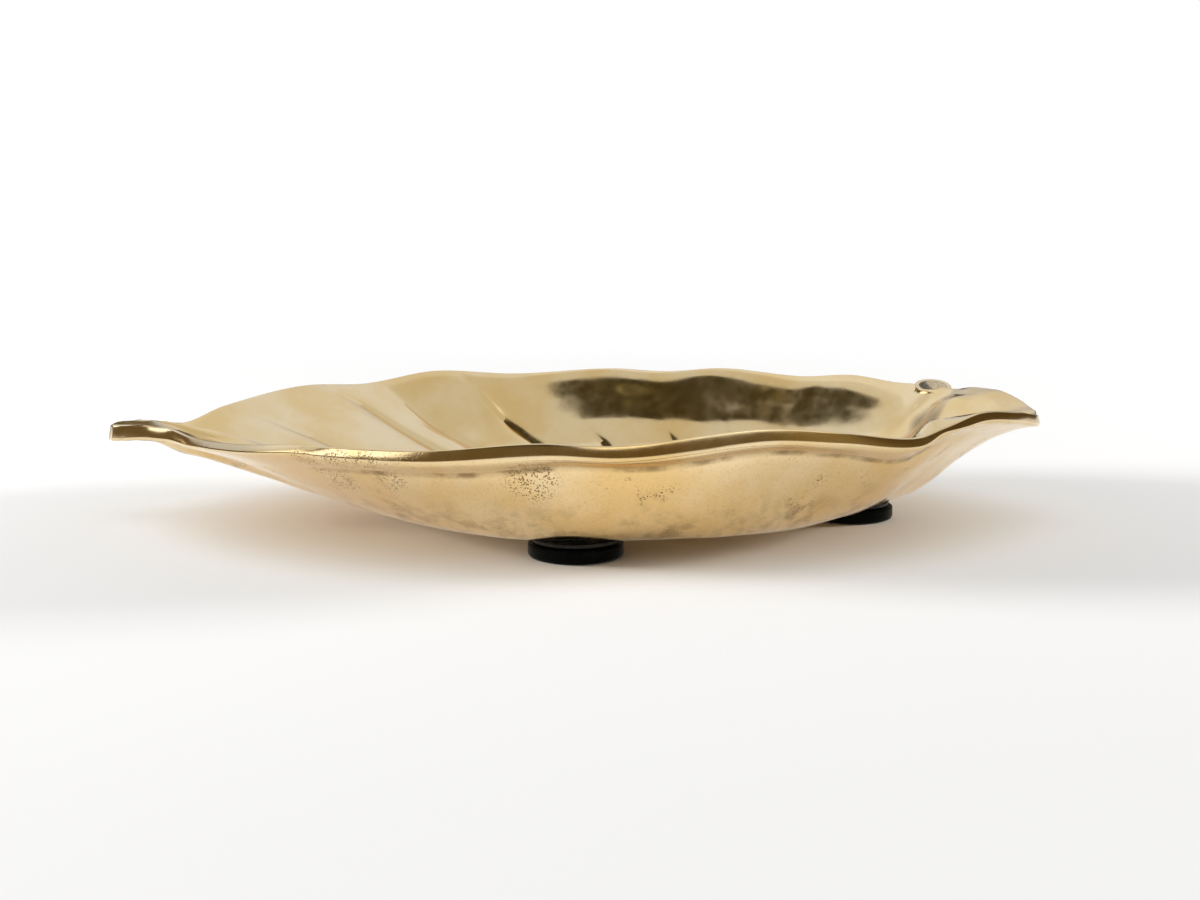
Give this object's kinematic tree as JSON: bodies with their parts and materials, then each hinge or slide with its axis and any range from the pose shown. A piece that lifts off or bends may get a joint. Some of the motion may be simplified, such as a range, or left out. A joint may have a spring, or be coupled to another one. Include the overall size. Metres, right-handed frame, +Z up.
{
  "type": "leaf-shaped trinket tray",
  "caption": "Shallow cast brass dish in the form of a veined leaf with a waved rim, a blunt tip and a cut stem, standing on stick-on rubber feet.",
  "frame": {"origin": "on the surface that the feet stand on, under the middle of the dish's outline", "axes": "+X from the leaf's blunt tip towards its rounded base, +Y towards the long side that carries the stem's stub, +Z up out of the bowl"},
  "size_m": [0.1697, 0.1045, 0.0233],
  "materials": {
    "brass": "polished, with fine casting pits",
    "rubber": "smooth satin black",
    "adhesive": "matt acrylic film"
  },
  "bodies": {
    "root": {"leaf_tray": "brass", "front_foot": "rubber", "back_foot": "rubber", "base_foot": "rubber", "front_adhesive": "adhesive", "back_adhesive": "adhesive", "base_adhesive": "adhesive"}
  },
  "joints": []
}
